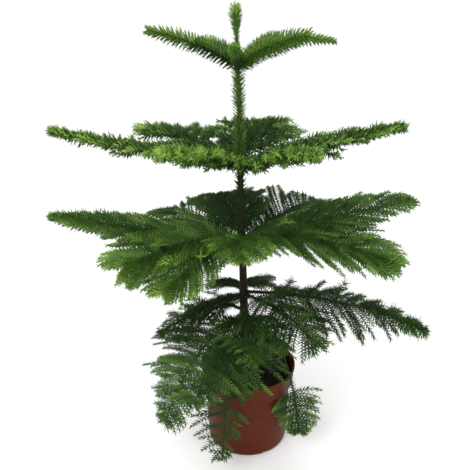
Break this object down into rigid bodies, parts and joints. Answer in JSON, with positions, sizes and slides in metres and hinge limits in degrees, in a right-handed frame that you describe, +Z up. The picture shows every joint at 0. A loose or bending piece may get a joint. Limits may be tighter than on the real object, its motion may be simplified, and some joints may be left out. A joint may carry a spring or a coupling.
{
  "type": "potted norfolk island pine",
  "caption": "Young Norfolk Island pine in a round terracotta coloured nursery pot, with whorls of flat drooping fronds up one slim trunk and a leafy leader.",
  "frame": {"origin": "middle of the pot's flat underside", "axes": "+Z up along the plant, +X to its right as seen from the front, -Y towards the front"},
  "size_m": [0.6939, 0.4579, 0.8427],
  "materials": {
    "terracotta_plastic": "satin",
    "potting_soil": "matte",
    "bark": "matte",
    "green_wood": "matte",
    "needles": "matte",
    "young_needles": "matte"
  },
  "bodies": {
    "root": {"lower_bough_1": "green_wood", "lower_bough_2": "green_wood", "lower_bough_3": "green_wood", "lower_bough_4": "green_wood", "lower_frond_1": "needles", "lower_frond_2": "needles", "lower_frond_3": "needles", "lower_frond_4": "needles", "lowest_bough_1": "green_wood", "lowest_bough_2": "green_wood", "lowest_bough_3": "green_wood", "lowest_bough_4": "green_wood", "lowest_bough_5": "green_wood", "lowest_bough_6": "green_wood", "lowest_frond_1": "needles", "lowest_frond_2": "needles", "lowest_frond_3": "needles", "lowest_frond_4": "needles", "lowest_frond_5": "needles", "lowest_frond_6": "needles", "middle_bough_1": "green_wood", "middle_bough_2": "green_wood", "middle_bough_3": "green_wood", "middle_bough_4": "green_wood", "middle_bough_5": "green_wood", "middle_bough_6": "green_wood", "middle_bough_7": "green_wood", "middle_bough_8": "green_wood", "middle_bough_9": "green_wood", "middle_frond_1": "needles", "middle_frond_2": "needles", "middle_frond_3": "needles", "middle_frond_4": "needles", "middle_frond_5": "needles", "middle_frond_6": "needles", "middle_frond_7": "needles", "middle_frond_8": "needles", "middle_frond_9": "needles", "pot": "terracotta_plastic", "soil": "potting_soil", "top_shoot_1": "young_needles", "top_shoot_2": "young_needles", "top_shoot_3": "young_needles", "top_shoot_4": "young_needles", "top_shoot_5": "young_needles", "top_shoot_6": "young_needles", "trunk": "bark", "upper_bough_1": "green_wood", "upper_bough_2": "green_wood", "upper_bough_3": "green_wood", "upper_bough_4": "green_wood", "upper_bough_5": "green_wood", "upper_bough_6": "green_wood", "upper_frond_1": "needles", "upper_frond_2": "needles", "upper_frond_3": "needles", "upper_frond_4": "needles", "upper_frond_5": "needles", "upper_frond_6": "needles"}
  },
  "joints": []
}
